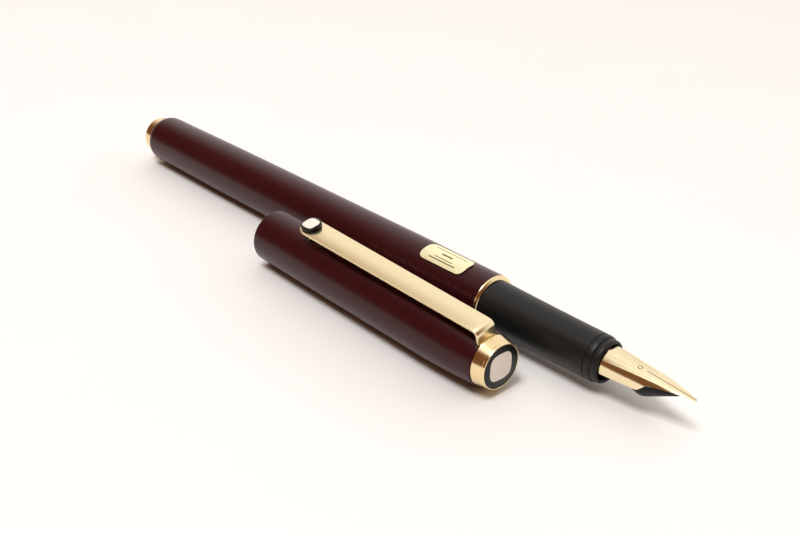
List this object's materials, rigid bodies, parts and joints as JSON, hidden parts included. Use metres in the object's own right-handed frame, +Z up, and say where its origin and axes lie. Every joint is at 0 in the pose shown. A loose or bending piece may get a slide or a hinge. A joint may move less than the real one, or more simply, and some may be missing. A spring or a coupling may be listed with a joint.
{
  "type": "fountain pen",
  "caption": "Slim round fountain pen lying uncapped beside its clip cap, with a pull-off barrel, a screw converter and a wrapped nib.",
  "frame": {"origin": "on the table under the middle of the whole set's box", "axes": "+X along the pen from barrel to nib, +Z up, the cap on the -Y side"},
  "size_m": [0.1274, 0.0204, 0.0121],
  "materials": {
    "burgundy_lacquer": "satin",
    "gilt": "polished",
    "matte_black": "matte",
    "gloss_black": "gloss",
    "ivory": "satin",
    "steel": "satin",
    "brass": "satin",
    "clear": "clear"
  },
  "bodies": {
    "grip": {"grip_section": "matte_black", "section_thread_collar": "brass", "nib_housing": "matte_black", "ink_nipple": "matte_black", "nib": "gilt", "feed": "matte_black"},
    "barrel_ring": {"barrel_trim_ring": "gilt"},
    "barrel": {"barrel_tube": "burgundy_lacquer", "barrel_thread_bush": "brass", "barrel_end_cap": "gilt", "barrel_end_screw": "steel", "barrel_label": "gilt"},
    "converter": {"converter_socket": "matte_black", "converter_reservoir": "clear", "converter_sleeve": "steel", "converter_rod_guide": "matte_black"},
    "knob": {"converter_knob": "gloss_black", "converter_lead_screw": "steel"},
    "piston": {"converter_piston_rod": "matte_black", "converter_piston_seal": "clear"},
    "cap": {"cap_tube": "burgundy_lacquer", "cap_clutch_ring": "steel", "cap_liner": "matte_black", "crown_ring": "gilt", "crown_bolt": "steel", "crown_nut": "brass", "crown_washer": "steel", "crown_disc": "gloss_black", "crown_inlay": "ivory"},
    "clip": {"clip": "gilt", "clip_button": "gloss_black", "clip_button_inlay": "ivory", "clip_pad": "gilt"}
  },
  "joints": [
    {"name": "barrel_draw", "type": "slide", "parent": "grip", "child": "barrel_ring", "axis": [-1, 0, 0], "range_m": [0, 0.09]},
    {"name": "barrel_turn", "type": "hinge", "parent": "barrel_ring", "child": "barrel", "pos_m": [-0.06372, 0.00566, 0.00455], "axis": [1, 0, 0], "range_deg": [0, 2160]},
    {"name": "converter_draw", "type": "slide", "parent": "grip", "child": "converter", "axis": [-1, 0, 0], "range_m": [0, 0.012]},
    {"name": "knob_turn", "type": "hinge", "parent": "converter", "child": "knob", "pos_m": [-0.06372, 0.00566, 0.00455], "axis": [1, 0, 0], "range_deg": [0, 2520]},
    {"name": "piston_slide", "type": "slide", "parent": "converter", "child": "piston", "axis": [1, 0, 0], "range_m": [0, 0.022]},
    {"name": "cap_slide", "type": "slide", "parent": "grip", "child": "cap", "axis": [0.9997, -0.025, 0], "range_m": [0, 0.08]},
    {"name": "clip_flex", "type": "hinge", "parent": "cap", "child": "clip", "pos_m": [0.03807, -0.00657, 0.00797], "axis": [0.0245, 0.9813, 0.1908], "range_deg": [0, 4], "stiffness_Nm_per_rad": 2}
  ],
  "couplings": [
    {"joint": "knob_turn", "follows": "piston_slide", "rad_per_m": 1999.2}
  ]
}
